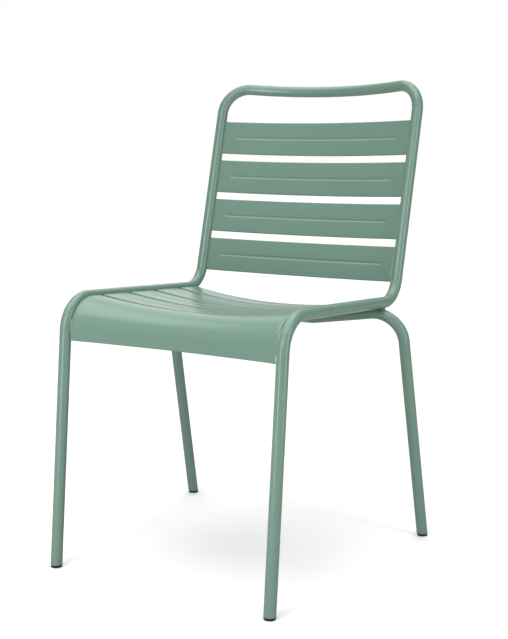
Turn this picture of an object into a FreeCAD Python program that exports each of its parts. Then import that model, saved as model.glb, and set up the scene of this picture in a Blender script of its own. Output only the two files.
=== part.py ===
import FreeCAD, Part
import math
import os
import Sketcher
from FreeCAD import Placement, Rotation, Vector

# Stacking chair of bent steel tube with pressed steel slats, in millimetres.
# X runs across the chair, -Y is the front, +Z is up, and +X is the sitter's left.
# The origin is on the floor, under the middle of the chair's overall box.

SIZES = [
    ("tube_diameter", 20.0),
    ("tube_wall", 1.5),
    ("back_half_width", 209.5),
    ("front_flare", 2.5),
    ("front_leg_rake", 43.0),
    ("knee_height", 458.5),
    ("knee_radius", 57.0),
    ("seat_depth", 392.5),
    ("seat_fall", 21.5),
    ("seat_corner_radius", 49.5),
    ("back_rise", 387.0),
    ("back_lean", 14.38),
    ("top_corner_radius", 52.0),
    ("rail_draw", 70.8),
    ("rail_straight", 1.0),
    ("foot_spacing", 476.0),
    ("rear_foot_outset", 46.5),
    ("rear_bend_outset", 37.1),
    ("rear_leg_rake", 90.4),
    ("rear_bend_radius", 51.5),
    ("crossbar_half_flat", 75.7),
    ("crossbar_drop", 25.0),
    ("crossbar_forward", 4.3),
    ("crossbar_radius", 60.0),
    ("crossing_gap", 0.5),
    ("sheet_thickness", 1.5),
    ("slat_flange", 6.0),
    ("slat_edge_radius", 1.8),
    ("slat_end_gap", 0.2),
    ("rib_width", 5.0),
    ("rib_depth", 1.4),
    ("lowest_slat_station", 34.2),
    ("top_slat_clearance", 68.6),
    ("back_slat_gap", 14.2),
    ("lower_slat_bow", 8.4),
    ("upper_slat_bow", 15.9),
    ("back_rib_inset", 29.0),
    ("seat_rise", 2.0),
    ("front_slat_flat", 70.0),
    ("apron_reach", 72.0),
    ("apron_side_gap", 1.4),
    ("seat_slat_gap", 12.0),
    ("rear_slat_width", 51.4),
    ("rear_slat_setback", 27.6),
    ("front_dish", 15.3),
    ("rear_dish", 19.5),
    ("seat_rib_inset", 24.0),
    ("foot_height", 4.5),
    ("foot_inset", 0.4),
    ("plug_clearance", 0.1),
    ("plug_depth", 18.0),
    ("crossing_weld_radius", 7.5),
    ("slat_weld_radius", 3.0),
    ("slat_weld_length", 24.0),
]

BACK_SLATS = 4
MIDDLE_SEAT_SLATS = 3
CLEARING_PASSES = 6
SAME_PLACE = 0.01
MOST_LEFT_IN_A_CHANNEL = 0.6

doc = FreeCAD.newDocument("stacking_chair")
sheet = doc.addObject("Spreadsheet::Sheet", "Sizes")
for row, (alias, value) in enumerate(SIZES, start=1):
    sheet.set("A%d" % row, alias)
    sheet.set("B%d" % row, str(value))
    sheet.setAlias("B%d" % row, alias)
doc.recompute()

nodes = []


def size(alias):
    return float(getattr(sheet, alias))


def across(point, x):
    """The same point of the side view, moved to x."""
    return Vector(x, point.y, point.z)


def mirrored(point):
    return Vector(-point.x, point.y, point.z)


def finish_node(thing, label):
    thing.Label = label
    nodes.append(thing)
    return thing


def shaped_node(shape, label):
    return finish_node(as_feature(shape, label), label)


def as_feature(shape, name):
    feature = doc.addObject("Part::Feature", name)
    feature.Shape = shape
    return feature


# ---------------------------------------------------------------- tube frame

def rounded_path(corners, radii):
    """Straight runs between the corners, joined by tangent arcs."""
    edges = []
    start = corners[0]
    for before, corner, after, radius in zip(corners, corners[1:], corners[2:], radii):
        to_before = (before - corner).normalize()
        to_after = (after - corner).normalize()
        half_angle = to_before.getAngle(to_after) / 2
        reach = radius / math.tan(half_angle)
        bisector = (to_before + to_after).normalize()
        arc_start = corner + to_before * reach
        arc_end = corner + to_after * reach
        arc_middle = corner + bisector * (radius / math.sin(half_angle) - radius)
        edges.append(Part.LineSegment(start, arc_start).toShape())
        edges.append(Part.Arc(arc_start, arc_middle, arc_end).toShape())
        start = arc_end
    edges.append(Part.LineSegment(start, corners[-1]).toShape())
    return Part.Wire(edges)


def swept_rod(path, radius):
    start = path.OrderedVertexes[0].Point
    along = path.OrderedEdges[0].tangentAt(path.OrderedEdges[0].FirstParameter)
    section = Part.Wire(Part.makeCircle(radius, start, along))
    return path.makePipeShell([section], True, False)


def above_foot(shape):
    """Cut level with the top of the foot glides."""
    wide = 4 * size("seat_depth")
    ground = Part.makeBox(wide, wide, wide, Vector(-wide / 2, -wide / 2, size("foot_height") - wide))
    return shape.cut(ground)


def hollow_tube(path):
    radius = size("tube_diameter") / 2
    solid = swept_rod(path, radius)
    bore = swept_rod(path, radius - size("tube_wall"))
    return above_foot(solid.cut(bore))


tube_radius = size("tube_diameter") / 2
lean = math.radians(size("back_lean"))
leg_lean = math.atan2(size("front_leg_rake"), size("knee_height"))
seat_slope = math.atan2(size("seat_fall"), size("seat_depth"))
up_the_back = Vector(0, math.sin(lean), math.cos(lean))
behind_the_back = Vector(0, math.cos(lean), -math.sin(lean))
along_the_seat = Vector(0, math.cos(seat_slope), -math.sin(seat_slope))
above_the_seat = Vector(0, math.sin(seat_slope), math.cos(seat_slope))
down_the_leg = Vector(0, -math.sin(leg_lean), -math.cos(leg_lean))
back_length = size("back_rise") / math.cos(lean)


def rail_bend():
    """Radius of the top rail and how far its middle lies behind the back's plane."""
    half_run = math.hypot(size("back_half_width"), size("rail_draw"))
    slope = math.atan2(size("rail_draw"), size("back_half_width"))
    radius = (half_run - size("top_corner_radius") - size("rail_straight")) / math.tan(slope)
    return radius, size("rail_draw") - radius * (1 / math.cos(slope) - 1)


rail_radius, rail_bow = rail_bend()
foot_to_back = (size("front_leg_rake") + size("seat_depth") + size("back_rise") * math.tan(lean)
                + rail_bow * math.cos(lean) + tube_radius)
foot_to_front = (tube_radius - size("foot_inset")) / math.cos(leg_lean)
front_foot_y = (foot_to_front - foot_to_back) / 2
knee = Vector(0, front_foot_y + size("front_leg_rake"), size("knee_height"))
seat_corner = Vector(0, knee.y + size("seat_depth"), size("knee_height") - size("seat_fall"))
top_corner = seat_corner + up_the_back * back_length


def main_frame_path():
    front = size("back_half_width") + size("front_flare")
    back = size("back_half_width")
    half = [Vector(front, front_foot_y, 0), across(knee, front), across(seat_corner, back),
            across(top_corner, back)]
    rail_middle = top_corner + behind_the_back * size("rail_draw")
    bends = [size("knee_radius"), size("seat_corner_radius"), size("top_corner_radius")]
    corners = half + [rail_middle] + [mirrored(point) for point in reversed(half)]
    return rounded_path(corners, bends + [rail_radius] + bends[::-1])


def rear_frame_path(bend_height):
    foot_y = front_foot_y + size("foot_spacing")
    bend_y = foot_y - size("rear_leg_rake")
    half = [Vector(size("back_half_width") + size("rear_foot_outset"), foot_y, 0),
            Vector(size("back_half_width") + size("rear_bend_outset"), bend_y, bend_height),
            Vector(size("crossbar_half_flat"), bend_y - size("crossbar_forward"),
                   bend_height - size("crossbar_drop"))]
    bends = [size("rear_bend_radius"), size("crossbar_radius")]
    return rounded_path(half + [mirrored(point) for point in reversed(half)], bends + bends[::-1])


def rear_frame_under(main_path):
    """The rear frame's path, raised until it just clears the side tubes it crosses under."""
    wanted = size("tube_diameter") + size("crossing_gap")
    bend_height = seat_corner.z - wanted
    for attempt in range(CLEARING_PASSES):
        path = rear_frame_path(bend_height)
        bend_height += path.distToShape(main_path)[0] - wanted
    return rear_frame_path(bend_height)


main_path = main_frame_path()
rear_path = rear_frame_under(main_path)
main_rod = swept_rod(main_path, tube_radius)
rear_rod = swept_rod(rear_path, tube_radius)
shaped_node(hollow_tube(main_path), "main_frame_tube")
shaped_node(hollow_tube(rear_path), "rear_leg_frame")


# ---------------------------------------------------------------- foot glides

def foot_glide(label, path, x, y):
    """A plastic plug in the tube's end, with a level sole on the floor."""
    path_start = path.OrderedVertexes[0].Point
    first_edge = path.OrderedEdges[0]
    along = first_edge.tangentAt(first_edge.FirstParameter)
    if x < 0:
        along = mirrored(along)
    leg = Rotation(Vector(0, 0, 1), along)
    foot = Vector(x, y, path_start.z)

    sole = doc.addObject("Part::Cylinder", label + "_sole")
    sole.setExpression("Radius", "Sizes.tube_diameter / 2 - Sizes.foot_inset")
    sole.setExpression("Height", "Sizes.tube_diameter * 2")
    sole.Placement = Placement(foot - along * size("tube_diameter"), leg)
    slab = doc.addObject("Part::Box", label + "_slab")
    slab.setExpression("Length", "Sizes.tube_diameter * 4")
    slab.setExpression("Width", "Sizes.tube_diameter * 4")
    slab.setExpression("Height", "Sizes.foot_height")
    slab.Placement.Base = foot - Vector(1, 1, 0) * 2 * size("tube_diameter")
    disc = doc.addObject("Part::Common", label + "_disc")
    disc.Base = sole
    disc.Tool = slab
    stem = doc.addObject("Part::Cylinder", label + "_stem")
    stem.setExpression("Radius", "Sizes.tube_diameter / 2 - Sizes.tube_wall - Sizes.plug_clearance")
    stem.setExpression("Height", "Sizes.plug_depth")
    stem.Placement = Placement(foot + along * size("foot_height") / 2, leg)
    glide = doc.addObject("Part::Fuse", label)
    glide.Base = disc
    glide.Tool = stem
    return finish_node(glide, label)


for end, path in (("front", main_path), ("rear", rear_path)):
    foot_point = path.OrderedVertexes[0].Point
    foot_glide("foot_%s_left" % end, path, foot_point.x, foot_point.y)
    foot_glide("foot_%s_right" % end, path, -foot_point.x, foot_point.y)


# ---------------------------------------------------------------- pressed slats

def sketch_on(body, role, name):
    plane = [item for item in body.Origin.OriginFeatures if item.Role == role][0]
    sketch = body.newObject("Sketcher::SketchObject", name)
    sketch.AttachmentSupport = [(plane, "")]
    sketch.MapMode = "FlatFace"
    return sketch


def bind(sketch, index, name, expression):
    sketch.renameConstraint(index, name)
    sketch.setExpression(".Constraints." + name, expression)


def worth(expression):
    """What an expression of the sheet's sizes comes to."""
    return float(FreeCAD.Units.Quantity(sheet.evalExpression(expression)).Value)


def band_sketch(body, name, near, far, half_height):
    """A rectangle that stands off the upright axis, as far above the level axis as below it."""
    sketch = sketch_on(body, "YZ_Plane", name)
    low, high, tall = [worth(text) for text in (near, far, half_height)]
    corners = [Vector(low, -tall, 0), Vector(high, -tall, 0), Vector(high, tall, 0), Vector(low, tall, 0)]
    for first, second in zip(corners, corners[1:] + corners[:1]):
        sketch.addGeometry(Part.LineSegment(first, second))
    for side in range(4):
        sketch.addConstraint(Sketcher.Constraint("Coincident", side, 2, (side + 1) % 4, 1))
    for level in (0, 2):
        sketch.addConstraint(Sketcher.Constraint("Horizontal", level))
    for upright in (1, 3):
        sketch.addConstraint(Sketcher.Constraint("Vertical", upright))
    bind(sketch, sketch.addConstraint(Sketcher.Constraint("DistanceX", -1, 1, 0, 1, low)), "near", near)
    bind(sketch, sketch.addConstraint(Sketcher.Constraint("DistanceX", -1, 1, 0, 2, high)), "far", far)
    bind(sketch, sketch.addConstraint(Sketcher.Constraint("DistanceY", -1, 1, 2, 1, tall)), "above",
         half_height)
    bind(sketch, sketch.addConstraint(Sketcher.Constraint("DistanceY", 0, 1, -1, 1, tall)), "below",
         half_height)
    return sketch


def turned(body, kind, name, sketch, angle):
    """Turn a band about the upright axis, evenly to both sides."""
    feature = body.newObject(kind, name)
    feature.Profile = sketch
    feature.ReferenceAxis = (sketch, ["V_Axis"])
    feature.Midplane = True
    feature.setExpression("Angle", angle)
    doc.recompute()
    return feature


def long_edges(shape, radius, height):
    """Names of the slat's long arcs at this radius from the upright axis and this height."""
    found = []
    shortest = shape.BoundBox.XLength / 2
    for index, edge in enumerate(shape.Edges, start=1):
        middle = edge.valueAt((edge.FirstParameter + edge.LastParameter) / 2)
        off_radius = abs(math.hypot(middle.x, middle.y) - radius)
        off_height = abs(abs(middle.z) - height)
        if off_radius < SAME_PLACE and off_height < SAME_PLACE and edge.Length > shortest:
            found.append("Edge%d" % index)
    return found


def rounded(body, name, base, radius, height, rounding):
    fillet = body.newObject("PartDesign::Fillet", name)
    fillet.Base = (base, long_edges(base.Shape, radius, height))
    fillet.setExpression("Radius", rounding)
    doc.recompute()
    return fillet


def pressed_slat(label, place, turn, half_span, bow, width, rib_inset=None):
    """A bowed channel: a sheet face with turned edges and, if asked for, a pressed rib.

    The body's upright axis is the axis of the bow, and its +Y points at the middle of the slat,
    away from the sitter. place is the middle of the line between the slat's ends, and turn is
    the rotation of the body.
    """
    body = doc.addObject("PartDesign::Body", label)
    bow_radius = "(({0})^2 + ({1})^2) / (2 * ({1}))".format(half_span, bow)
    half_width = "({0}) / 2".format(width)
    full_angle = "2 * asin(({0}) / ({1}))".format(half_span, bow_radius)
    radius = worth(bow_radius)
    half = worth(half_width)
    depth = worth(bow)
    thickness = size("sheet_thickness")

    blank = band_sketch(body, label + "_blank", bow_radius, bow_radius + " + Sizes.slat_flange",
                        half_width)
    channel = turned(body, "PartDesign::Revolution", label + "_channel", blank, full_angle)
    outside = rounded(body, label + "_outside", channel, radius, half, "Sizes.slat_edge_radius")
    inner = band_sketch(body, label + "_inner", bow_radius + " + Sizes.sheet_thickness",
                        bow_radius + " + Sizes.slat_flange * 2", half_width + " - Sizes.sheet_thickness")
    before = outside.Shape.Volume
    hollow = turned(body, "PartDesign::Groove", label + "_hollow", inner, full_angle)
    if hollow.Shape.Volume > MOST_LEFT_IN_A_CHANNEL * before:
        raise RuntimeError(label + " was not hollowed")
    rounded(body, label + "_inside", hollow, radius + thickness, half - thickness,
            "Sizes.slat_edge_radius - Sizes.sheet_thickness")
    if rib_inset:
        rib_angle = "2 * asin((({0}) - {1}) / ({2}))".format(half_span, rib_inset, bow_radius)
        bump = band_sketch(body, label + "_bump", bow_radius + " + Sizes.sheet_thickness / 2",
                           bow_radius + " + Sizes.sheet_thickness + Sizes.rib_depth",
                           "Sizes.rib_width / 2 + Sizes.sheet_thickness / 2")
        turned(body, "PartDesign::Revolution", label + "_rib_back", bump, rib_angle)
        press = band_sketch(body, label + "_press", bow_radius + " - Sizes.sheet_thickness",
                            bow_radius + " + Sizes.rib_depth", "Sizes.rib_width / 2")
        turned(body, "PartDesign::Groove", label + "_rib_face", press, rib_angle)
    body.Placement = Placement(place - turn.multVec(Vector(0, radius - depth, 0)), turn)
    return finish_node(body, label)


def half_span_at(station):
    """Half the clear width between the side tubes, this far behind the knee corner."""
    return ("Sizes.back_half_width + Sizes.front_flare * (1 - ({0}) / Sizes.seat_depth)"
            " - Sizes.tube_diameter / 2 - Sizes.slat_end_gap").format(station)


def less_splay(half_span, bow):
    """Shorter by what the turned edges lean outwards at the ends of a bowed slat."""
    return "{0} - Sizes.slat_flange * 2 * ({1}) / ({0})".format(half_span, bow)


front_half_span = half_span_at("Sizes.front_slat_flat") + " - Sizes.apron_side_gap"
back_half_span = "Sizes.back_half_width - Sizes.tube_diameter / 2 - Sizes.slat_end_gap"
back_slat_width = ("((Sizes.back_rise / cos(Sizes.back_lean * 1 deg) - Sizes.lowest_slat_station"
                   " - Sizes.top_slat_clearance - {0} * Sizes.back_slat_gap) / {1})"
                   ).format(BACK_SLATS - 1, BACK_SLATS)
back_slat_height = ((back_length - size("lowest_slat_station") - size("top_slat_clearance")
                     - (BACK_SLATS - 1) * size("back_slat_gap")) / BACK_SLATS)
back_turn = Rotation(Vector(1, 0, 0), -size("back_lean"))
back_slats = []
back_middles = []
for number in range(1, BACK_SLATS + 1):
    from_below = BACK_SLATS - number
    station = (size("lowest_slat_station") + back_slat_height / 2
               + from_below * (back_slat_height + size("back_slat_gap")))
    bow = ("Sizes.lower_slat_bow + (Sizes.upper_slat_bow - Sizes.lower_slat_bow) * {0} / {1}"
           ).format(from_below, BACK_SLATS - 1)
    back_middles.append(seat_corner + up_the_back * station)
    back_slats.append(pressed_slat("back_slat_%d" % number, back_middles[-1], back_turn,
                                   back_half_span, bow, back_slat_width,
                                   "Sizes.back_rib_inset"))

seat_slat_width = ("((Sizes.seat_depth / cos(atan(Sizes.seat_fall / Sizes.seat_depth))"
                   " - Sizes.front_slat_flat - Sizes.rear_slat_width"
                   " - Sizes.rear_slat_setback - {0} * Sizes.seat_slat_gap) / {1})"
                   ).format(MIDDLE_SEAT_SLATS + 1, MIDDLE_SEAT_SLATS)
seat_length = size("seat_depth") / math.cos(seat_slope)
seat_slat_reach = ((seat_length - size("front_slat_flat") - size("rear_slat_width")
                    - size("rear_slat_setback") - (MIDDLE_SEAT_SLATS + 1) * size("seat_slat_gap"))
                   / MIDDLE_SEAT_SLATS)
seat_turn = Rotation(Vector(1, 0, 0), -90 - math.degrees(seat_slope))
seat_top = knee + above_the_seat * size("seat_rise")
seat_slats = []
seat_middles = []
seat_half_spans = []
rear_edge = size("front_slat_flat")
for number in range(2, MIDDLE_SEAT_SLATS + 3):
    last = number == MIDDLE_SEAT_SLATS + 2
    reach = size("rear_slat_width") if last else seat_slat_reach
    middle = rear_edge + size("seat_slat_gap") + reach / 2
    rear_edge += size("seat_slat_gap") + reach
    dish = ("Sizes.front_dish + (Sizes.rear_dish - Sizes.front_dish) * {0} / {1}"
            ).format(number - 1, MIDDLE_SEAT_SLATS + 1)
    label = "seat_rear_slat" if last else "seat_slat_%d" % number
    half_span = less_splay(half_span_at("%.3f" % rear_edge), dish)
    seat_middles.append(seat_top + along_the_seat * middle)
    seat_half_spans.append(worth(half_span))
    seat_slats.append(pressed_slat(label, seat_middles[-1], seat_turn, half_span, dish,
                                   "Sizes.rear_slat_width" if last else seat_slat_width,
                                   None if last else "Sizes.seat_rib_inset"))


# ---------------------------------------------------------------- front slat with its apron

def apron_path(body):
    """Side view of the front slat: flat, over the knee, and down the leg."""
    sketch = sketch_on(body, "YZ_Plane", "seat_front_path")
    turn = along_the_seat.negative().getAngle(down_the_leg)
    reach = size("knee_radius") * math.tan(turn / 2)
    radius = size("knee_radius") + size("seat_rise")
    centre = Vector(reach, -radius, 0)
    flat_start = Vector(size("front_slat_flat"), 0, 0)
    bend_start = Vector(reach, 0, 0)
    bend_end = centre + Vector(-math.sin(turn), math.cos(turn), 0) * radius
    hang = Vector(-math.cos(turn), -math.sin(turn), 0) * (size("apron_reach") - reach)
    circle = Part.Circle(centre, Vector(0, 0, 1), radius)
    sketch.addGeometry(Part.LineSegment(flat_start, bend_start))
    sketch.addGeometry(Part.ArcOfCircle(circle, math.pi / 2, math.pi / 2 + turn))
    sketch.addGeometry(Part.LineSegment(bend_end, bend_end + hang))
    sketch.addConstraint(Sketcher.Constraint("PointOnObject", 0, 1, -1))
    sketch.addConstraint(Sketcher.Constraint("Horizontal", 0))
    sketch.addConstraint(Sketcher.Constraint("Tangent", 0, 2, 1, 1))
    sketch.addConstraint(Sketcher.Constraint("Tangent", 1, 2, 2, 1))
    turn_text = ("(90 deg - atan(Sizes.front_leg_rake / Sizes.knee_height)"
                 " + atan(Sizes.seat_fall / Sizes.seat_depth))")
    reach_text = "Sizes.knee_radius * tan({0} / 2)".format(turn_text)
    bind(sketch, sketch.addConstraint(Sketcher.Constraint("Radius", 1, radius)), "bend",
         "Sizes.knee_radius + Sizes.seat_rise")
    bind(sketch, sketch.addConstraint(Sketcher.Constraint("DistanceX", -1, 1, 0, 1, flat_start.x)),
         "flat", "Sizes.front_slat_flat")
    bind(sketch, sketch.addConstraint(Sketcher.Constraint("DistanceX", -1, 1, 0, 2, reach)),
         "bend_start", reach_text)
    bind(sketch, sketch.addConstraint(Sketcher.Constraint("Distance", 2, hang.Length)), "hang",
         "Sizes.apron_reach - " + reach_text)
    bind(sketch, sketch.addConstraint(Sketcher.Constraint("Angle", 1, turn)), "turn", turn_text)
    return sketch


def apron_section(body):
    """The dished sheet's cross section, at the slat's rear edge."""
    sketch = sketch_on(body, "XZ_Plane", "seat_front_section")
    sketch.setExpression(".AttachmentOffset.Base.z", "-Sizes.front_slat_flat")
    half_text = front_half_span
    radius_text = "(({0})^2 + Sizes.front_dish^2) / (2 * Sizes.front_dish)".format(half_text)
    half = worth(half_text)
    dish = size("front_dish")
    thickness = size("sheet_thickness")
    radius = (half ** 2 + dish ** 2) / (2 * dish)
    centre = Vector(0, radius - dish, 0)
    arcs = []
    for arc_radius in (radius, radius + thickness):
        spread = math.asin(half / arc_radius)
        circle = Part.Circle(centre, Vector(0, 0, 1), arc_radius)
        arcs.append(Part.ArcOfCircle(circle, 1.5 * math.pi - spread, 1.5 * math.pi + spread))
        sketch.addGeometry(arcs[-1])
    sketch.addGeometry(Part.LineSegment(arcs[0].StartPoint, arcs[1].StartPoint))
    sketch.addGeometry(Part.LineSegment(arcs[0].EndPoint, arcs[1].EndPoint))
    for side, end in ((2, 1), (3, 2)):
        sketch.addConstraint(Sketcher.Constraint("Coincident", 0, end, side, 1))
        sketch.addConstraint(Sketcher.Constraint("Coincident", 1, end, side, 2))
        sketch.addConstraint(Sketcher.Constraint("Vertical", side))
    sketch.addConstraint(Sketcher.Constraint("Coincident", 0, 3, 1, 3))
    sketch.addConstraint(Sketcher.Constraint("PointOnObject", 0, 3, -2))
    bind(sketch, sketch.addConstraint(Sketcher.Constraint("Radius", 0, radius)), "face", radius_text)
    bind(sketch, sketch.addConstraint(Sketcher.Constraint("Radius", 1, radius + thickness)),
         "underside", radius_text + " + Sizes.sheet_thickness")
    bind(sketch, sketch.addConstraint(Sketcher.Constraint("DistanceY", -1, 1, 0, 3, centre.y)),
         "centre", radius_text + " - Sizes.front_dish")
    sketch.addConstraint(Sketcher.Constraint("PointOnObject", 0, 1, -1))
    return sketch


front_slat = doc.addObject("PartDesign::Body", "seat_front_slat")
apron_spine = apron_path(front_slat)
apron_profile = apron_section(front_slat)
doc.recompute()
apron = front_slat.newObject("PartDesign::AdditivePipe", "seat_front_sheet")
apron.Profile = apron_profile
apron.Spine = (apron_spine, ["Edge1", "Edge2", "Edge3"])
front_slat.Placement = Placement(seat_top, Rotation(Vector(1, 0, 0), -math.degrees(seat_slope)))
finish_node(front_slat, "seat_front_slat")
doc.recompute()


# ---------------------------------------------------------------- welds

def crossing_welds():
    """A saddle of weld metal between each side tube and the rear frame under it."""
    gap, pairs = main_path.distToShape(rear_path)[:2]
    on_side, on_rear = pairs[0]
    radius = size("crossing_weld_radius")
    saddles = []
    for flip in (1, -1):
        low = Vector(flip * abs(on_rear.x), on_rear.y, on_rear.z)
        high = Vector(flip * abs(on_side.x), on_side.y, on_side.z)
        post = Part.makeCylinder(radius, gap, low, high - low)
        saddles.append(post.cut(main_rod).cut(rear_rod))
    return Part.makeCompound(saddles)


def end_welds(slat, middle, half_span, backwards, along):
    """A bead behind each end of a slat, between its sheet and the tube. middle is on its ends' line."""
    beads = []
    radius = size("slat_weld_radius")
    length = size("slat_weld_length")
    behind = middle + backwards * (size("sheet_thickness") + radius / 2)
    for flip in (1, -1):
        start = across(behind - along * length / 2, flip * half_span)
        bead = Part.makeCylinder(radius, length, start, along)
        pieces = bead.cut(main_rod).cut(slat.Shape).Solids
        beads.append(max(pieces, key=lambda piece: piece.Volume))
    return beads


def beads_of(slats, half_spans, middles, backwards, along):
    beads = []
    for slat, half_span, middle in zip(slats, half_spans, middles):
        beads += end_welds(slat, middle, half_span, backwards, along)
    return beads


shaped_node(crossing_welds(), "crossing_welds")
back_beads = beads_of(back_slats, [worth(back_half_span)] * BACK_SLATS, back_middles,
                      behind_the_back, up_the_back)
shaped_node(Part.makeCompound(back_beads), "back_slat_welds")
behind_the_leg = Vector(0, math.cos(leg_lean), -math.sin(leg_lean))
apron_middle = (knee + down_the_leg * (size("apron_reach") - size("slat_weld_length"))
                - behind_the_leg * size("seat_rise"))
middle_of_side_gap = worth(front_half_span) + (size("apron_side_gap") + size("slat_end_gap")) / 2
seat_beads = end_welds(front_slat, apron_middle, middle_of_side_gap, behind_the_leg, down_the_leg)
seat_beads += beads_of(seat_slats, seat_half_spans, seat_middles, above_the_seat.negative(),
                       along_the_seat)
shaped_node(Part.makeCompound(seat_beads), "seat_slat_welds")


# ---------------------------------------------------------------- check and write

doc.recompute()
for item in doc.Objects:
    if "Invalid" in item.State or "Error" in item.State:
        raise RuntimeError(item.Label + " failed: " + str(item.State))
os.makedirs("parts", exist_ok=True)
for node in nodes:
    shape = node.Shape
    if shape.isNull() or not shape.isValid() or not shape.Solids:
        raise RuntimeError(node.Label + " has no valid solid")
    shape.exportStep(os.path.join("parts", node.Label + ".step"))
    box = shape.BoundBox
    print("%-18s solids %d volume %.0f box %.1f %.1f %.1f to %.1f %.1f %.1f" % (
        node.Label, len(shape.Solids), shape.Volume, box.XMin, box.YMin, box.ZMin,
        box.XMax, box.YMax, box.ZMax))
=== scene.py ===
import math

import bmesh
import bpy
from mathutils import Matrix, Vector


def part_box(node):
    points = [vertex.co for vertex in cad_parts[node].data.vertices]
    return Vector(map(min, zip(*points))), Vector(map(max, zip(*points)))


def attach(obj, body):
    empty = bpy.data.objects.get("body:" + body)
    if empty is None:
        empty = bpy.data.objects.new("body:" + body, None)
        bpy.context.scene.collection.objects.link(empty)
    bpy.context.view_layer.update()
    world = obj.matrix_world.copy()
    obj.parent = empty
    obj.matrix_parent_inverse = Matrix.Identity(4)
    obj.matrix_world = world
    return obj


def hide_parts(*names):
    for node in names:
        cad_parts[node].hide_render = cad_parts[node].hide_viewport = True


# Stacking chair of bent, powder-coated steel tube with pressed steel slats.
# Metres; X runs across the chair, -Y is the front, +Z is up, +X is the sitter's left.

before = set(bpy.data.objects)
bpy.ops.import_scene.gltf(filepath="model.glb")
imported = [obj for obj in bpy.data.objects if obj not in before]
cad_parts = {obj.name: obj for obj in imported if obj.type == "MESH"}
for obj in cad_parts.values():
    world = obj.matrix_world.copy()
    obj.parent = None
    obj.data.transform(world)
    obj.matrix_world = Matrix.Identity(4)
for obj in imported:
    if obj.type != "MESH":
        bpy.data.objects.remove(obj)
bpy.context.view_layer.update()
ROOT = "root"

# ---------------------------------------------------------------- the chair's own sizes

TUBE_RADIUS = 0.010
TUBE_WALL = 0.0015
BACK_HALF_WIDTH = 0.2095
FRONT_HALF_WIDTH = 0.2120
FRONT_RAKE = 0.043
KNEE_HEIGHT = 0.4585
KNEE_RADIUS = 0.057
SEAT_DEPTH = 0.3925
SEAT_FALL = 0.0215
SEAT_CORNER_RADIUS = 0.0495
BACK_RISE = 0.387
BACK_LEAN = math.radians(14.38)
TOP_CORNER_RADIUS = 0.052
RAIL_DRAW = 0.0708
RAIL_STRAIGHT = 0.001
FOOT_SPACING = 0.476
REAR_FOOT_HALF_WIDTH = 0.256
REAR_BEND_HALF_WIDTH = 0.2466
REAR_RAKE = 0.0904
REAR_BEND_RADIUS = 0.0515
CROSSBAR_HALF_FLAT = 0.0757
CROSSBAR_DROP = 0.025
CROSSBAR_FORWARD = 0.0043
CROSSBAR_RADIUS = 0.060
REAR_BEND_HEIGHT = 0.42817
FOOT_HEIGHT = 0.0045
FOOT_INSET = 0.0004

SHEET = 0.0015
FLANGE = 0.006
EDGE_RADIUS = 0.0018
CUT_EDGE = 0.0003
SHARP_ANGLE = 70
END_GAP = 0.0002
RIB_DEPTH = 0.0014
RIB_REACH = 0.0036
RIB_FADE = 0.004
END_ZONE = 0.024
END_STEPS = 4
FADE_STEPS = 10
MIDDLE_STEPS = 48

LEG_LEAN = math.atan2(FRONT_RAKE, KNEE_HEIGHT)
SEAT_SLOPE = math.atan2(SEAT_FALL, SEAT_DEPTH)
UP_THE_BACK = Vector((0, math.sin(BACK_LEAN), math.cos(BACK_LEAN)))
BEHIND_THE_BACK = Vector((0, math.cos(BACK_LEAN), -math.sin(BACK_LEAN)))
ALONG_THE_SEAT = Vector((0, math.cos(SEAT_SLOPE), -math.sin(SEAT_SLOPE)))
ABOVE_THE_SEAT = Vector((0, math.sin(SEAT_SLOPE), math.cos(SEAT_SLOPE)))
DOWN_THE_LEG = Vector((0, -math.sin(LEG_LEAN), -math.cos(LEG_LEAN)))
ACROSS = Vector((1, 0, 0))

FRONT_FOOT_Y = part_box("foot_front_left")[0].y + (TUBE_RADIUS - FOOT_INSET) / math.cos(LEG_LEAN)
KNEE = Vector((0, FRONT_FOOT_Y + FRONT_RAKE, KNEE_HEIGHT))
SEAT_CORNER = KNEE + Vector((0, SEAT_DEPTH, -SEAT_FALL))
BACK_LENGTH = BACK_RISE / math.cos(BACK_LEAN)
TOP_CORNER = SEAT_CORNER + UP_THE_BACK * BACK_LENGTH
REAR_FOOT = Vector((REAR_FOOT_HALF_WIDTH, FRONT_FOOT_Y + FOOT_SPACING, 0))
REAR_BEND = Vector((REAR_BEND_HALF_WIDTH, REAR_FOOT.y - REAR_RAKE, REAR_BEND_HEIGHT))
MIRROR = Matrix.Scale(-1, 4, ACROSS)


def at_side(point, x):
    return Vector((x, point.y, point.z))


# ---------------------------------------------------------------- workshop helpers

SAME_POINT = 0.00002


def new_object_from(name):
    """The object the last operator made, named and put in edit mode, all of it selected."""
    made = bpy.context.object
    made.name = name
    made.data.name = name
    bpy.ops.object.transform_apply(location=True, rotation=True, scale=True)
    bpy.ops.object.mode_set(mode="EDIT")
    bpy.ops.mesh.select_mode(type="VERT")
    bpy.ops.mesh.select_all(action="SELECT")
    return made


def nothing_selected():
    if bpy.context.mode != "OBJECT":
        bpy.ops.object.mode_set(mode="OBJECT")
    bpy.ops.object.select_all(action="DESELECT")


def only(thing):
    nothing_selected()
    thing.select_set(True)
    bpy.context.view_layer.objects.active = thing


def pick(thing, kind, wanted):
    """In edit mode, select just the verts, edges or faces that wanted() says yes to."""
    bpy.ops.mesh.select_mode(type=kind)
    bpy.ops.mesh.select_all(action="DESELECT")
    shape = bmesh.from_edit_mesh(thing.data)
    items = {"VERT": shape.verts, "EDGE": shape.edges, "FACE": shape.faces}[kind]
    for item in items:
        if wanted(item):
            item.select_set(True)
    shape.select_flush_mode()
    bmesh.update_edit_mesh(thing.data)


def pull(vector):
    bpy.ops.mesh.extrude_region_move(TRANSFORM_OT_translate={"value": vector})


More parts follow.
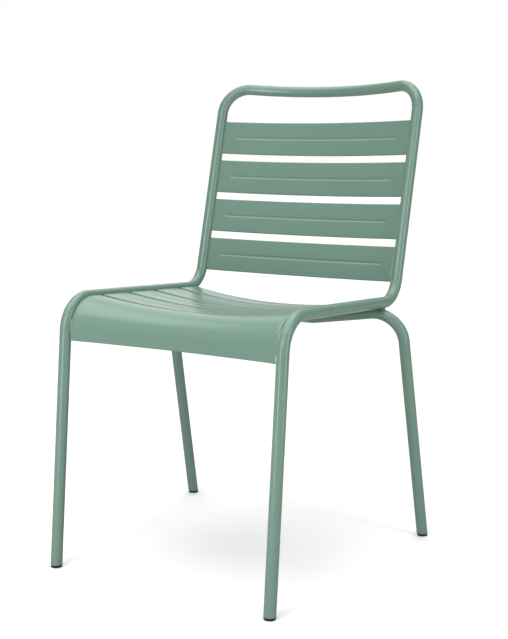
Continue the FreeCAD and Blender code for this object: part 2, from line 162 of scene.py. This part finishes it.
def swing(centre, axis, angle, steps):
    """Spin what is selected about an axis, right-handed."""
    bpy.ops.mesh.spin(steps=steps, angle=angle, center=centre, axis=-axis)


def apply_modifier(thing, kind, **settings):
    only(thing)
    modifier = thing.modifiers.new(kind.title(), kind)
    for key, value in settings.items():
        setattr(modifier, key, value)
    bpy.ops.object.modifier_apply(modifier=modifier.name)


def tidy_skin(thing):
    """Merge doubles and turn every face outwards."""
    only(thing)
    bpy.ops.object.mode_set(mode="EDIT")
    bpy.ops.mesh.select_all(action="SELECT")
    bpy.ops.mesh.remove_doubles(threshold=SAME_POINT)
    bpy.ops.mesh.normals_make_consistent(inside=False)
    bpy.ops.object.mode_set(mode="OBJECT")


def smooth(thing, degrees=40):
    only(thing)
    bpy.ops.object.shade_smooth_by_angle(angle=math.radians(degrees))


def copy_of(thing, name, place):
    """A copy with a mesh of its own, its points moved or mirrored by place."""
    twin = thing.copy()
    twin.data = thing.data.copy()
    twin.name = name
    twin.data.name = name
    bpy.context.scene.collection.objects.link(twin)
    twin.data.transform(place)
    if place.determinant() < 0:
        twin.data.flip_normals()
    return twin


def joined(name, things):
    only(things[0])
    for thing in things:
        thing.select_set(True)
    bpy.ops.object.join()
    whole = bpy.context.object
    whole.name = name
    whole.data.name = name
    return whole


def belongs(thing, material, slot, *nodes):
    """Give a finished piece its material and its body, and hide the CAD nodes it stands for."""
    thing.data.materials.clear()
    thing.data.materials.append(material)
    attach(thing, ROOT)
    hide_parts(*nodes)


# ---------------------------------------------------------------- finishes

def socket_in(group, name, kind, value):
    socket = group.interface.new_socket(name=name, in_out="INPUT", socket_type=kind)
    socket.default_value = value


def socket_out(group, name, kind):
    group.interface.new_socket(name=name, in_out="OUTPUT", socket_type=kind)


def add_node(tree, kind, **settings):
    node = tree.nodes.new(kind)
    for key, value in settings.items():
        setattr(node, key, value)
    return node


CLOUD_SCALE = 9.0
CLOUD_SHARE = 2.0
GRAIN_SCALE = 420.0
PIT_SCALE = 1500.0
PIT_SHARE = 0.35
PEEL_STRENGTH = 0.35


def powder_coat_group():
    """Baked powder paint: an orange-peel height and slow drifts of shade and sheen."""
    group = bpy.data.node_groups.new("powder_coat", "ShaderNodeTree")
    socket_in(group, "Paint", "NodeSocketColor", (0.2, 0.34, 0.26, 1))
    socket_in(group, "Shade drift", "NodeSocketFloat", 0.04)
    socket_in(group, "Roughness", "NodeSocketFloat", 0.4)
    socket_in(group, "Roughness drift", "NodeSocketFloat", 0.02)
    socket_out(group, "Color", "NodeSocketColor")
    socket_out(group, "Roughness", "NodeSocketFloat")
    socket_out(group, "Peel", "NodeSocketFloat")
    inputs = add_node(group, "NodeGroupInput")
    outputs = add_node(group, "NodeGroupOutput")
    where = add_node(group, "ShaderNodeTexCoord")

    def noise(scale, detail):
        texture = add_node(group, "ShaderNodeTexNoise")
        texture.inputs["Scale"].default_value = scale
        texture.inputs["Detail"].default_value = detail
        group.links.new(where.outputs["Object"], texture.inputs["Vector"])
        return texture.outputs["Fac"]

    def worked_out(operation, *terms):
        """The output of a maths node whose terms are sockets or numbers."""
        node = add_node(group, "ShaderNodeMath", operation=operation)
        for term, socket in zip(terms, node.inputs):
            if isinstance(term, float):
                socket.default_value = term
            else:
                group.links.new(term, socket)
        return node.outputs[0]

    clouds = noise(CLOUD_SCALE, 3.0)
    grain = noise(GRAIN_SCALE, 2.0)
    pits = noise(PIT_SCALE, 1.0)
    slow_drift = worked_out("SUBTRACT", clouds, 0.5)
    fine_drift = worked_out("SUBTRACT", grain, 0.5)

    shade = worked_out("MULTIPLY", slow_drift, inputs.outputs["Shade drift"])
    speck = worked_out("MULTIPLY", fine_drift, inputs.outputs["Shade drift"])
    level = worked_out("ADD", worked_out("MULTIPLY_ADD", shade, CLOUD_SHARE, speck), 1.0)
    tint = add_node(group, "ShaderNodeHueSaturation")
    group.links.new(inputs.outputs["Paint"], tint.inputs["Color"])
    group.links.new(level, tint.inputs["Value"])
    group.links.new(tint.outputs["Color"], outputs.inputs["Color"])

    sheen = worked_out("MULTIPLY_ADD", slow_drift, inputs.outputs["Roughness drift"],
                       inputs.outputs["Roughness"])
    group.links.new(sheen, outputs.inputs["Roughness"])

    peel = worked_out("MULTIPLY_ADD", pits, PIT_SHARE, grain)
    group.links.new(peel, outputs.inputs["Peel"])
    return group


POWDER_COAT = powder_coat_group()


def painted(name, paint, roughness, peel_depth):
    """A finish of paint or plastic, with the powder coat group behind it."""
    material = bpy.data.materials.new(name)
    material.use_nodes = True
    tree = material.node_tree
    shader = tree.nodes["Principled BSDF"]
    shader.inputs["Metallic"].default_value = 0.0
    shader.inputs["IOR"].default_value = 1.5
    coat = add_node(tree, "ShaderNodeGroup", node_tree=POWDER_COAT)
    coat.inputs["Paint"].default_value = (*paint, 1)
    coat.inputs["Roughness"].default_value = roughness
    bump = add_node(tree, "ShaderNodeBump")
    bump.inputs["Strength"].default_value = PEEL_STRENGTH
    bump.inputs["Distance"].default_value = peel_depth
    tree.links.new(coat.outputs["Color"], shader.inputs["Base Color"])
    tree.links.new(coat.outputs["Roughness"], shader.inputs["Roughness"])
    tree.links.new(coat.outputs["Peel"], bump.inputs["Height"])
    tree.links.new(bump.outputs["Normal"], shader.inputs["Normal"])
    return material


GREEN = (0.164, 0.274, 0.217)
BLACK = (0.012, 0.012, 0.013)
green_paint = painted("sage_green_powder_coat", GREEN, 0.24, 0.00005)
weld_paint = painted("painted_weld_metal", GREEN, 0.42, 0.0002)
glide_plastic = painted("black_glide_plastic", BLACK, 0.5, 0.0001)


# ---------------------------------------------------------------- bent tube

RING_SIDES = 40
RAIL_STEPS = 14
DEGREES_PER_STEP = 4.0
FEWEST_STEPS = 4
SAME_SEAM = 0.0002


def bent_tube(name, corners, radii):
    """A tube of straight runs pulled out and bends spun about their centres."""
    into = (corners[1] - corners[0]).normalized()
    nothing_selected()
    bpy.ops.mesh.primitive_circle_add(
        vertices=RING_SIDES, radius=TUBE_RADIUS, fill_type="NOTHING", location=corners[0],
        rotation=into.to_track_quat("Z", "Y").to_euler())
    tube = new_object_from(name)
    here = corners[0]
    for corner, after, radius in zip(corners[1:], corners[2:], radii):
        out = (after - corner).normalized()
        angle = into.angle(out)
        axis = into.cross(out).normalized()
        bend_start = corner - into * radius * math.tan(angle / 2)
        pull(bend_start - here)
        centre = bend_start + axis.cross(into) * radius
        steps = max(FEWEST_STEPS, round(math.degrees(angle) / DEGREES_PER_STEP))
        swing(centre, axis, angle, steps)
        here = corner + out * radius * math.tan(angle / 2)
        into = out
    pull(corners[-1] - here)
    return tube


def finish_tube(tube):
    """Cut the feet level, mirror to the other side and give the wall its thickness."""
    bpy.ops.mesh.select_all(action="SELECT")
    bpy.ops.mesh.bisect(plane_co=(0, 0, FOOT_HEIGHT), plane_no=(0, 0, 1), clear_inner=True)
    bpy.ops.object.mode_set(mode="OBJECT")
    apply_modifier(tube, "MIRROR", use_axis=(True, False, False), use_mirror_merge=True,
                   merge_threshold=SAME_SEAM)
    tidy_skin(tube)
    apply_modifier(tube, "SOLIDIFY", thickness=TUBE_WALL, offset=-1.0, use_even_offset=True)
    smooth(tube)
    return tube


def main_tube():
    """Front legs, knees, side rails, back uprights and the bowed top rail, in one tube."""
    rail_slope = math.atan2(RAIL_DRAW, BACK_HALF_WIDTH)
    half_run = math.hypot(BACK_HALF_WIDTH, RAIL_DRAW)
    rail_radius = (half_run - TOP_CORNER_RADIUS - RAIL_STRAIGHT) / math.tan(rail_slope)
    draw_point = TOP_CORNER + BEHIND_THE_BACK * RAIL_DRAW
    into_rail = (draw_point - at_side(TOP_CORNER, BACK_HALF_WIDTH)).normalized()
    rail_start = draw_point - into_rail * rail_radius * math.tan(rail_slope)
    tube = bent_tube(
        "main_tube",
        [Vector((FRONT_HALF_WIDTH, FRONT_FOOT_Y, 0)), at_side(KNEE, FRONT_HALF_WIDTH),
         at_side(SEAT_CORNER, BACK_HALF_WIDTH), at_side(TOP_CORNER, BACK_HALF_WIDTH), rail_start],
        [KNEE_RADIUS, SEAT_CORNER_RADIUS, TOP_CORNER_RADIUS])
    rail_axis = into_rail.cross(-ACROSS).normalized()
    swing(rail_start + rail_axis.cross(into_rail) * rail_radius, rail_axis, rail_slope, RAIL_STEPS)
    return finish_tube(tube)


def rear_tube():
    """Rear legs bent in under the side rails, with a cross-bar that dips under the seat."""
    bar = Vector((CROSSBAR_HALF_FLAT, REAR_BEND.y - CROSSBAR_FORWARD,
                  REAR_BEND_HEIGHT - CROSSBAR_DROP))
    tube = bent_tube("rear_tube", [REAR_FOOT, REAR_BEND, bar, at_side(bar, 0)],
                     [REAR_BEND_RADIUS, CROSSBAR_RADIUS])
    return finish_tube(tube)


belongs(main_tube(), green_paint, "green_paint", "main_frame_tube")
belongs(rear_tube(), green_paint, "green_paint", "rear_leg_frame")


# ---------------------------------------------------------------- pressed slats

EDGE_STEPS = 5
RIB_ROW = 0.0008
RIB_ROWS_EACH_SIDE = 5
BACK_RIB_INSET = 0.029
SEAT_RIB_INSET = 0.024
END_ANGLE_SLACK = 1e-5
BACK_FACE_SLACK = 0.0001
MIDDLE_LINE_SLACK = 1e-6
RIB_END_SLACK = 1e-5


def pressed_slat(name, place, behind, half_span, bow, width, rib_inset=None):
    """A bowed channel of sheet with rolled long edges and, if asked for, a pressed rib.

    place is the middle of the line between the slat's ends, and behind points away from
    the sitter.
    """
    radius = (half_span ** 2 + bow ** 2) / (2 * bow)
    full_angle = 2 * math.asin(half_span / radius)
    centre = place - behind * (radius - bow)
    up = behind.cross(ACROSS)
    turn = Matrix((up, behind, ACROSS)).transposed().to_4x4()

    nothing_selected()
    bpy.ops.mesh.primitive_plane_add(size=1)
    slat = new_object_from(name)
    bpy.ops.transform.resize(value=(width, FLANGE, 1))
    bpy.ops.transform.translate(value=(0, radius + FLANGE / 2, 0))
    pick(slat, "VERT", lambda v: v.co.y < radius + FLANGE / 2)
    bpy.ops.mesh.bevel(offset=EDGE_RADIUS, affect="VERTICES", segments=EDGE_STEPS)
    bpy.ops.object.mode_set(mode="OBJECT")
    slat.data.transform(turn)
    slat.data.transform(Matrix.Rotation(full_angle / 2, 4, up))
    only(slat)
    bpy.ops.object.mode_set(mode="EDIT")
    bpy.ops.mesh.select_all(action="SELECT")

    rib_angle = 2 * math.asin((half_span - (rib_inset or END_ZONE)) / radius)
    end_angle = (full_angle - rib_angle) / 2
    fade_angle = RIB_FADE / radius
    swing(Vector(), up, -(end_angle - fade_angle), END_STEPS)
    swing(Vector(), up, -2 * fade_angle, FADE_STEPS)
    swing(Vector(), up, -(rib_angle - 2 * fade_angle), MIDDLE_STEPS)
    swing(Vector(), up, -2 * fade_angle, FADE_STEPS)
    swing(Vector(), up, -(end_angle - fade_angle), END_STEPS)

    def open_side(face):
        middle = face.calc_center_median()
        from_the_middle = abs(math.atan2(middle.x, middle.dot(behind)))
        from_the_axis = math.hypot(middle.x, middle.dot(behind))
        return (abs(from_the_middle - full_angle / 2) < END_ANGLE_SLACK
                or from_the_axis > radius + FLANGE - BACK_FACE_SLACK)

    pick(slat, "FACE", open_side)
    bpy.ops.mesh.delete(type="FACE")
    if rib_inset:
        for row in range(-RIB_ROWS_EACH_SIDE, RIB_ROWS_EACH_SIDE + 1):
            bpy.ops.mesh.select_all(action="SELECT")
            bpy.ops.mesh.bisect(plane_co=up * row * RIB_ROW, plane_no=up)
        half_rib = math.sin(rib_angle / 2) * radius
        pick(slat, "VERT", lambda v: abs(v.co.dot(up)) < MIDDLE_LINE_SLACK
             and abs(v.co.x) < half_rib + RIB_END_SLACK and v.co.dot(behind) > 0)
        bpy.ops.transform.translate(
            value=behind * RIB_DEPTH, use_proportional_edit=True, proportional_size=RIB_REACH,
            proportional_edit_falloff="SMOOTH")
    bpy.ops.mesh.select_all(action="SELECT")
    bpy.ops.transform.translate(value=centre)
    bpy.ops.object.mode_set(mode="OBJECT")
    tidy_skin(slat)
    face_the_sitter(slat, behind)
    thicken(slat)
    return slat


def face_the_sitter(sheet, behind):
    """Turn an open sheet so that its faces look towards the sitter."""
    middle = max(sheet.data.polygons, key=lambda face: face.area)
    if middle.normal.dot(behind) > 0:
        sheet.data.flip_normals()


def thicken(sheet):
    """Give an open sheet its thickness and break its cut edges."""
    apply_modifier(sheet, "SOLIDIFY", thickness=SHEET, offset=-1.0, use_even_offset=True)
    apply_modifier(sheet, "BEVEL", width=CUT_EDGE, segments=2, limit_method="ANGLE",
                   angle_limit=math.radians(SHARP_ANGLE))
    smooth(sheet)


def clear_half_width(station):
    """Half the clear width between the side rails, this far behind the knee."""
    share = station / SEAT_DEPTH
    return FRONT_HALF_WIDTH - (FRONT_HALF_WIDTH - BACK_HALF_WIDTH) * share - TUBE_RADIUS - END_GAP


BACK_NAMES = ("back_slat_top", "back_slat_upper", "back_slat_lower", "back_slat_bottom")
BACK_SLAT_GAP = 0.0142
LOWEST_STATION = 0.0342
TOP_CLEARANCE = 0.0686
LOWER_BOW = 0.0084
UPPER_BOW = 0.0159
BACK_SLATS = len(BACK_NAMES)
back_width = (BACK_LENGTH - LOWEST_STATION - TOP_CLEARANCE
              - (BACK_SLATS - 1) * BACK_SLAT_GAP) / BACK_SLATS
back_half = BACK_HALF_WIDTH - TUBE_RADIUS - END_GAP
back_places = []
for number, name in enumerate(BACK_NAMES, start=1):
    from_below = BACK_SLATS - number
    station = LOWEST_STATION + back_width / 2 + from_below * (back_width + BACK_SLAT_GAP)
    bow = LOWER_BOW + (UPPER_BOW - LOWER_BOW) * from_below / (BACK_SLATS - 1)
    back_places.append(SEAT_CORNER + UP_THE_BACK * station)
    slat = pressed_slat(name, back_places[-1], BEHIND_THE_BACK, back_half, bow,
                        back_width, BACK_RIB_INSET)
    belongs(slat, green_paint, "green_paint", "back_slat_%d" % number)

SEAT_NAMES = ("seat_slat_second", "seat_slat_third", "seat_slat_fourth", "seat_slat_rear")
FRONT_FLAT = 0.070
SEAT_GAP = 0.012
REAR_WIDTH = 0.0514
REAR_SETBACK = 0.0276
SEAT_RISE = 0.002
FRONT_DISH = 0.0153
REAR_DISH = 0.0195
seat_length = SEAT_DEPTH / math.cos(SEAT_SLOPE)
SEAT_GAPS = len(SEAT_NAMES)
WIDE_SLATS = SEAT_GAPS - 1
seat_width = (seat_length - FRONT_FLAT - REAR_WIDTH - REAR_SETBACK
              - SEAT_GAPS * SEAT_GAP) / WIDE_SLATS
seat_top = KNEE + ABOVE_THE_SEAT * SEAT_RISE
rear_edge = FRONT_FLAT
seat_places = []
for number, name in enumerate(SEAT_NAMES, start=2):
    last = name == SEAT_NAMES[-1]
    reach = REAR_WIDTH if last else seat_width
    middle = rear_edge + SEAT_GAP + reach / 2
    rear_edge += SEAT_GAP + reach
    dish = FRONT_DISH + (REAR_DISH - FRONT_DISH) * (number - 1) / SEAT_GAPS
    half = clear_half_width(rear_edge)
    half -= FLANGE * 2 * dish / half
    seat_places.append((seat_top + ALONG_THE_SEAT * middle, half))
    slat = pressed_slat(name, seat_places[-1][0], -ABOVE_THE_SEAT, half, dish,
                        reach, None if last else SEAT_RIB_INSET)
    belongs(slat, green_paint, "green_paint", "seat_rear_slat" if last else "seat_slat_%d" % number)


# ---------------------------------------------------------------- front slat with its apron

APRON_REACH = 0.072
APRON_SIDE_GAP = 0.0014
ROLL_STEPS = 5
DISH_STEPS = 56
KNEE_STEPS = 22
FLAT_STEPS = 3
FRONT_HALF = clear_half_width(FRONT_FLAT) - APRON_SIDE_GAP
BEHIND_THE_LEG = Vector((0, math.cos(LEG_LEAN), -math.sin(LEG_LEAN)))


def roll_edge(heading, turned, radius):
    """Carry the sheet's edge round a quarter turn from one heading to the other."""
    for step in range(ROLL_STEPS):
        before, after = [math.radians(90) * count / ROLL_STEPS for count in (step, step + 1)]
        pull((heading * (math.sin(after) - math.sin(before))
              + turned * (math.cos(before) - math.cos(after))) * radius)


def front_slat():
    """One dished sheet: a turned rear edge, the seat's front, the knee and a hemmed apron."""
    radius = (FRONT_HALF ** 2 + FRONT_DISH ** 2) / (2 * FRONT_DISH)
    rear = seat_top + ALONG_THE_SEAT * FRONT_FLAT
    rear_lip = rear - ABOVE_THE_SEAT * FLANGE
    dish_centre = rear_lip + ABOVE_THE_SEAT * (radius - FRONT_DISH)
    nothing_selected()
    bpy.ops.mesh.primitive_plane_add(size=0.001, location=rear_lip - ACROSS * FRONT_HALF)
    sheet = new_object_from("seat_slat_front")
    bpy.ops.mesh.merge(type="CENTER")
    swing(dish_centre, -ALONG_THE_SEAT, 2 * math.asin(FRONT_HALF / radius), DISH_STEPS)
    bpy.ops.mesh.select_all(action="SELECT")
    pull(ABOVE_THE_SEAT * (FLANGE - EDGE_RADIUS))
    roll_edge(ABOVE_THE_SEAT, -ALONG_THE_SEAT, EDGE_RADIUS)
    knee_turn = (-ALONG_THE_SEAT).angle(DOWN_THE_LEG)
    knee_reach = KNEE_RADIUS * math.tan(knee_turn / 2)
    for run in range(FLAT_STEPS):
        pull(-ALONG_THE_SEAT * (FRONT_FLAT - EDGE_RADIUS - knee_reach) / FLAT_STEPS)
    knee_centre = (seat_top + ALONG_THE_SEAT * knee_reach
                   - ABOVE_THE_SEAT * (KNEE_RADIUS + SEAT_RISE))
    swing(knee_centre, ACROSS, knee_turn, KNEE_STEPS)
    for run in range(FLAT_STEPS):
        pull(DOWN_THE_LEG * (APRON_REACH - knee_reach - EDGE_RADIUS) / FLAT_STEPS)
    roll_edge(DOWN_THE_LEG, BEHIND_THE_LEG, EDGE_RADIUS)
    pull(BEHIND_THE_LEG * (FLANGE - EDGE_RADIUS))
    bpy.ops.object.mode_set(mode="OBJECT")
    tidy_skin(sheet)
    face_the_sitter(sheet, -ABOVE_THE_SEAT)
    thicken(sheet)
    return sheet


belongs(front_slat(), green_paint, "green_paint", "seat_front_slat")


# ---------------------------------------------------------------- foot glides

PLUG_DEPTH = 0.018
PLUG_INSET = 0.0012
SOLE_ROUND = 0.0008
ROUGH_LENGTH = FOOT_HEIGHT * 3


def foot_glide(name, foot, up_the_leg):
    """A plastic plug in the tube's end with a level, round-edged sole."""
    nothing_selected()
    bpy.ops.mesh.primitive_circle_add(
        vertices=RING_SIDES, radius=TUBE_RADIUS - FOOT_INSET, fill_type="NGON",
        location=foot - up_the_leg * FOOT_HEIGHT,
        rotation=up_the_leg.to_track_quat("Z", "Y").to_euler())
    glide = new_object_from(name)
    pull(up_the_leg * ROUGH_LENGTH)
    for level, cut_away in ((0.0, "clear_inner"), (FOOT_HEIGHT, "clear_outer")):
        bpy.ops.mesh.select_all(action="SELECT")
        bpy.ops.mesh.bisect(plane_co=(0, 0, level), plane_no=(0, 0, 1), use_fill=True,
                            **{cut_away: True})
    # the level cut at the top is the only large face that looks up
    pick(glide, "FACE", lambda face: face.normal.z > 0.9 and len(face.verts) > 8)
    bpy.ops.mesh.inset(thickness=PLUG_INSET)
    pull(up_the_leg * PLUG_DEPTH)
    pick(glide, "EDGE", lambda edge: all(v.co.z < SAME_POINT for v in edge.verts))
    bpy.ops.mesh.bevel(offset=SOLE_ROUND, segments=3)
    bpy.ops.object.mode_set(mode="OBJECT")
    tidy_skin(glide)
    smooth(glide)
    return glide


for end, foot, up_the_leg in (
        ("front", Vector((FRONT_HALF_WIDTH, FRONT_FOOT_Y, 0)), -DOWN_THE_LEG),
        ("rear", REAR_FOOT, (REAR_BEND - REAR_FOOT).normalized())):
    left = foot_glide("glide_%s_left" % end, foot, up_the_leg)
    right = copy_of(left, "glide_%s_right" % end, MIRROR)
    belongs(left, glide_plastic, "glide_plastic", "foot_%s_left" % end)
    belongs(right, glide_plastic, "glide_plastic", "foot_%s_right" % end)


# ---------------------------------------------------------------- welds

# where the rear frame's bend passes under the side rail, and the way up from one to the other
CROSSING = Vector((0.20805, 0.09728, 0.42961))
CROSSING_UP = Vector((0.003527, 0.001127, 0.020163)).normalized()
WELD_RING = 0.0062
WELD_THICK = 0.0019
WELD_SADDLE = 0.0010
SADDLE_SPREAD = WELD_RING * 1.15
RIPPLE = 0.00025
RING_STEPS = 60
STEP_ANGLE = 360 / RING_STEPS
HALF_STEP = 3.1
WELD_SMOOTHING = 60


def crossing_weld():
    """A rippled ring of weld between the side rail and the rear frame, shaped like a saddle."""
    nothing_selected()
    bpy.ops.mesh.primitive_torus_add(
        major_segments=RING_STEPS, minor_segments=12, major_radius=WELD_RING,
        minor_radius=WELD_THICK)
    ring = new_object_from("weld_crossing")

    def round_the_ring(v):
        return math.degrees(math.atan2(v.co.y, v.co.x)) % 360

    pick(ring, "VERT", lambda v: round(round_the_ring(v) / STEP_ANGLE) % 3 == 0)
    bpy.ops.transform.shrink_fatten(value=-RIPPLE)
    for middle, lift in ((0, 1), (180, 1), (90, -1), (270, -1)):
        pick(ring, "VERT",
             lambda v: abs((round_the_ring(v) - middle + 180) % 360 - 180) < HALF_STEP)
        bpy.ops.transform.translate(
            value=(0, 0, lift * WELD_SADDLE), use_proportional_edit=True,
            proportional_size=SADDLE_SPREAD, proportional_edit_falloff="SMOOTH")
    bpy.ops.object.mode_set(mode="OBJECT")
    ring.data.transform(Matrix.Translation(CROSSING)
                        @ CROSSING_UP.to_track_quat("Z", "Y").to_matrix().to_4x4())
    smooth(ring, WELD_SMOOTHING)
    return joined("weld_crossing", [ring, copy_of(ring, "weld_crossing_right", MIRROR)])


belongs(crossing_weld(), weld_paint, "green_paint", "crossing_welds")

BEAD_LENGTH = 0.024
BEAD_RADIUS = 0.0028
BEAD_RIPPLES = 10
BEAD_TIP = BEAD_RADIUS * 0.45
BEAD_START = BEAD_RADIUS * 0.85
BEAD_VALLEY = BEAD_RADIUS * 0.9


def weld_bead():
    """A short bead of overlapping ripples, lying along Z about the origin."""
    nothing_selected()
    bpy.ops.mesh.primitive_circle_add(vertices=14, radius=BEAD_TIP, fill_type="NGON",
                                      location=(0, 0, -BEAD_LENGTH / 2))
    bead = new_object_from("weld_bead")
    bpy.ops.mesh.select_mode(type="FACE")
    bpy.ops.mesh.select_all(action="SELECT")
    step = BEAD_LENGTH / (2 * BEAD_RIPPLES + 2)
    radii = [BEAD_START] + [BEAD_RADIUS, BEAD_VALLEY] * BEAD_RIPPLES + [BEAD_TIP]
    now = BEAD_TIP
    height = -BEAD_LENGTH / 2
    for wanted in radii:
        pull((0, 0, step))
        height += step
        share = wanted / now
        bpy.ops.transform.resize(value=(share, share, 1), center_override=(0, 0, height))
        now = wanted
    bpy.ops.object.mode_set(mode="OBJECT")
    tidy_skin(bead)
    smooth(bead, WELD_SMOOTHING)
    return bead


def beads_for(name, ends, node):
    """Copies of the bead behind both ends of each slat, as one piece."""
    pattern = weld_bead()
    beads = []
    for middle, half, backwards, along in ends:
        behind = middle + backwards * (SHEET + BEAD_RADIUS / 2)
        turn = along.to_track_quat("Z", "Y").to_matrix().to_4x4()
        for flip in (1, -1):
            place = Matrix.Translation(at_side(behind, flip * half)) @ turn
            beads.append(copy_of(pattern, "bead", place))
    bpy.data.objects.remove(pattern)
    belongs(joined(name, beads), weld_paint, "green_paint", node)


beads_for("weld_beads_back",
          [(place, back_half, BEHIND_THE_BACK, UP_THE_BACK) for place in back_places],
          "back_slat_welds")
apron_weld = KNEE + DOWN_THE_LEG * (APRON_REACH - BEAD_LENGTH) - BEHIND_THE_LEG * SEAT_RISE
middle_of_side_gap = FRONT_HALF + (APRON_SIDE_GAP + END_GAP) / 2
beads_for("weld_beads_seat",
          [(apron_weld, middle_of_side_gap, BEHIND_THE_LEG, DOWN_THE_LEG)]
          + [(place, half, -ABOVE_THE_SEAT, ALONG_THE_SEAT) for place, half in seat_places],
          "seat_slat_welds")


# ---------------------------------------------------------------- studio

WHITE = (1, 1, 1, 1)
FLOOR_SIZE = 40
FLOOR_DROP = 0.0002
FLOOR_IN_REFLECTIONS = (0.45, 0.45, 0.445, 1)
FLOOR_TO_CAMERA = (0.95, 0.95, 0.945, 1)
BACK_WALL_GLOW = (-0.38, 0.72, 0.58)
BACK_WALL_RANGE = (0.80, 0.93, 0.12, 1.25)


def pale_floor():
    """A matt floor that the camera sees paler than reflections do."""
    nothing_selected()
    bpy.ops.mesh.primitive_plane_add(size=FLOOR_SIZE, location=(0, 0, -FLOOR_DROP))
    floor = bpy.context.object
    floor.name = "studio_floor"
    pale = bpy.data.materials.new("pale_floor")
    pale.use_nodes = True
    tree = pale.node_tree
    shader = tree.nodes["Principled BSDF"]
    shader.inputs["Roughness"].default_value = 0.9
    shader.inputs["Specular IOR Level"].default_value = 0.1
    shade = add_node(tree, "ShaderNodeMix", data_type="RGBA")
    shade.inputs["A"].default_value = FLOOR_IN_REFLECTIONS
    shade.inputs["B"].default_value = FLOOR_TO_CAMERA
    path = add_node(tree, "ShaderNodeLightPath")
    tree.links.new(path.outputs["Is Camera Ray"], shade.inputs["Factor"])
    tree.links.new(shade.outputs["Result"], shader.inputs["Base Color"])
    floor.data.materials.append(pale)


def white_room():
    """Plain white to the camera; in reflections, dim with one glowing patch of back wall."""
    world = bpy.data.worlds.new("white_room")
    bpy.context.scene.world = world
    world.use_nodes = True
    tree = world.node_tree
    reflected = tree.nodes["Background"]
    reflected.inputs["Color"].default_value = WHITE
    where = add_node(tree, "ShaderNodeTexCoord")
    towards = add_node(tree, "ShaderNodeVectorMath", operation="DOT_PRODUCT")
    towards.inputs[1].default_value = Vector(BACK_WALL_GLOW).normalized()
    tree.links.new(where.outputs["Generated"], towards.inputs[0])
    glow = add_node(tree, "ShaderNodeMapRange", interpolation_type="SMOOTHSTEP")
    for key, value in zip(("From Min", "From Max", "To Min", "To Max"), BACK_WALL_RANGE):
        glow.inputs[key].default_value = value
    tree.links.new(towards.outputs["Value"], glow.inputs["Value"])
    tree.links.new(glow.outputs["Result"], reflected.inputs["Strength"])
    seen = add_node(tree, "ShaderNodeBackground")
    seen.inputs["Color"].default_value = WHITE
    seen.inputs["Strength"].default_value = 1.0
    path = add_node(tree, "ShaderNodeLightPath")
    either = add_node(tree, "ShaderNodeMixShader")
    tree.links.new(path.outputs["Is Camera Ray"], either.inputs["Fac"])
    tree.links.new(reflected.outputs[0], either.inputs[1])
    tree.links.new(seen.outputs[0], either.inputs[2])
    tree.links.new(either.outputs[0], tree.nodes["World Output"].inputs["Surface"])


DIFFUSER_POWER = 2.75
DIFFUSER_SPREAD = math.radians(70)
DIFFUSER_TILT = (math.radians(6), math.radians(-4), 0)
MIDDLE_OF_CHAIR = (0, 0, 0.42)
MIDDLE_OF_BACK = (0.0, -0.1, 0.75)


def overhead_diffuser():
    lamp = bpy.data.lights.new("overhead_diffuser", "SUN")
    lamp.energy = DIFFUSER_POWER
    lamp.angle = DIFFUSER_SPREAD
    stand = bpy.data.objects.new("overhead_diffuser", lamp)
    stand.rotation_euler = DIFFUSER_TILT
    bpy.context.scene.collection.objects.link(stand)


def area_light(name, place, target, size, power):
    lamp = bpy.data.lights.new(name, "AREA")
    lamp.shape = "RECTANGLE"
    lamp.size, lamp.size_y = size
    lamp.energy = power
    stand = bpy.data.objects.new(name, lamp)
    stand.location = place
    stand.visible_camera = False
    stand.rotation_euler = (Vector(target) - Vector(place)).to_track_quat("-Z", "Y").to_euler()
    bpy.context.scene.collection.objects.link(stand)


CAMERA_PLACE = (1.0710, -1.7307, 0.7174)
CAMERA_LOOKS_DOWN = 8.12
CAMERA_TURN = 31.50
SENSOR_WIDTH = 36
FOCAL_LENGTH = 65.38
SHIFT_ACROSS = -0.0027
SHIFT_UP = -0.0185


def camera():
    lens = bpy.data.cameras.new("camera")
    lens.sensor_width = SENSOR_WIDTH
    lens.lens = FOCAL_LENGTH
    lens.shift_x = SHIFT_ACROSS
    lens.shift_y = SHIFT_UP
    holder = bpy.data.objects.new("camera", lens)
    holder.location = CAMERA_PLACE
    holder.rotation_euler = (math.radians(90 - CAMERA_LOOKS_DOWN), 0, math.radians(CAMERA_TURN))
    bpy.context.scene.collection.objects.link(holder)
    bpy.context.scene.camera = holder


pale_floor()
white_room()
overhead_diffuser()
area_light("front_box", (-0.20, -1.80, 0.80), MIDDLE_OF_BACK, (0.45, 1.6), 13.6)
area_light("right_box", (1.70, -0.15, 0.80), MIDDLE_OF_BACK, (0.36, 1.6), 10.0)
area_light("front_fill", (0.6, -4.0, 2.4), MIDDLE_OF_CHAIR, (1.8, 1.8), 36)
camera()
bpy.context.scene.view_settings.view_transform = "Standard"
